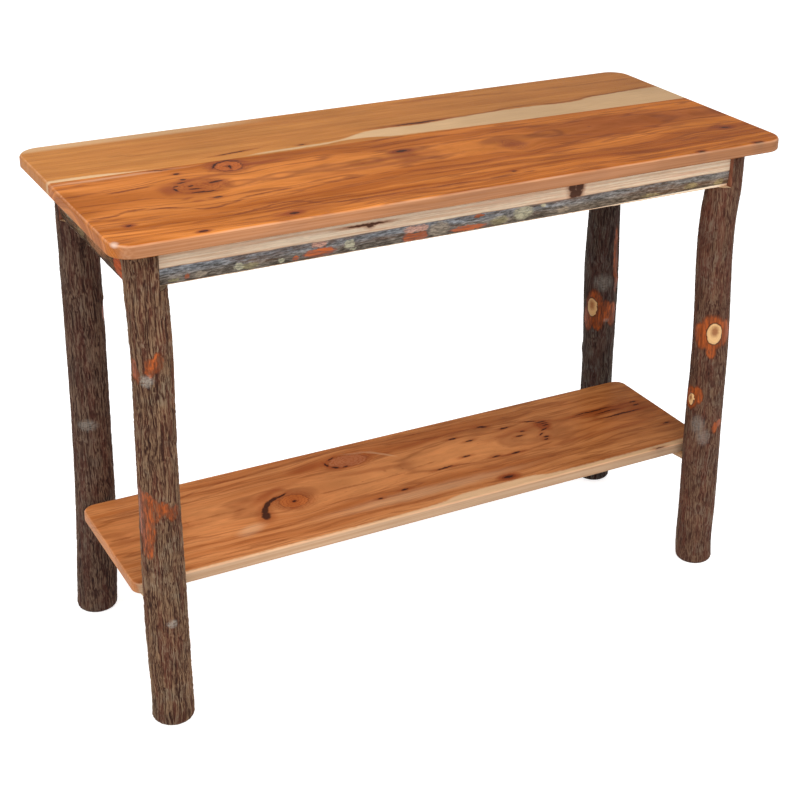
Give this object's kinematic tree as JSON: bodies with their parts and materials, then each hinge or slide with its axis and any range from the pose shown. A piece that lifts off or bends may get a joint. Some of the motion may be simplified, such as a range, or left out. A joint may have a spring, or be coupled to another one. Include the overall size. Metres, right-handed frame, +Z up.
{
  "type": "rustic pole-leg table",
  "caption": "Long rustic table with a rounded-corner plank top, bark-on pole legs, bark-edged rails and a low plank shelf carried on shaved rungs.",
  "frame": {"origin": "on the floor under the middle of the table", "axes": "+X along the table towards its right end as seen from the front, +Y from front to back, +Z up"},
  "size_m": [1.067, 0.457, 0.762],
  "materials": {
    "top_wood": "clear satin varnish over knotty orange-brown heartwood with pale sapwood",
    "shelf_wood": "clear satin varnish over knotty golden-brown heartwood",
    "leg_bark": "furrowed dark brown bark with a thin clear coat, orange inner bark where it has peeled",
    "rail_bark": "sawn blond wood above, smooth grey bark below",
    "bare_wood": "plain smooth wood, thinly varnished",
    "screw_steel": "dull zinc plate"
  },
  "bodies": {
    "root": {"top_board_back": "top_wood", "top_board_front": "top_wood", "leg_front_left": "leg_bark", "leg_front_right": "leg_bark", "leg_back_left": "leg_bark", "leg_back_right": "leg_bark", "rail_front": "rail_bark", "rail_back": "rail_bark", "rail_left": "rail_bark", "rail_right": "rail_bark", "shelf_board": "shelf_wood", "shelf_rung_left": "bare_wood", "shelf_rung_right": "bare_wood", "corner_brace_front_left": "bare_wood", "corner_brace_front_right": "bare_wood", "corner_brace_back_left": "bare_wood", "corner_brace_back_right": "bare_wood", "top_cleat_front": "bare_wood", "top_cleat_back": "bare_wood", "leg_lag_screws": "screw_steel", "leg_lag_washers": "screw_steel", "brace_screws": "screw_steel", "cleat_rail_screws": "screw_steel", "cleat_top_screws": "screw_steel", "shelf_screws": "screw_steel"}
  },
  "joints": []
}
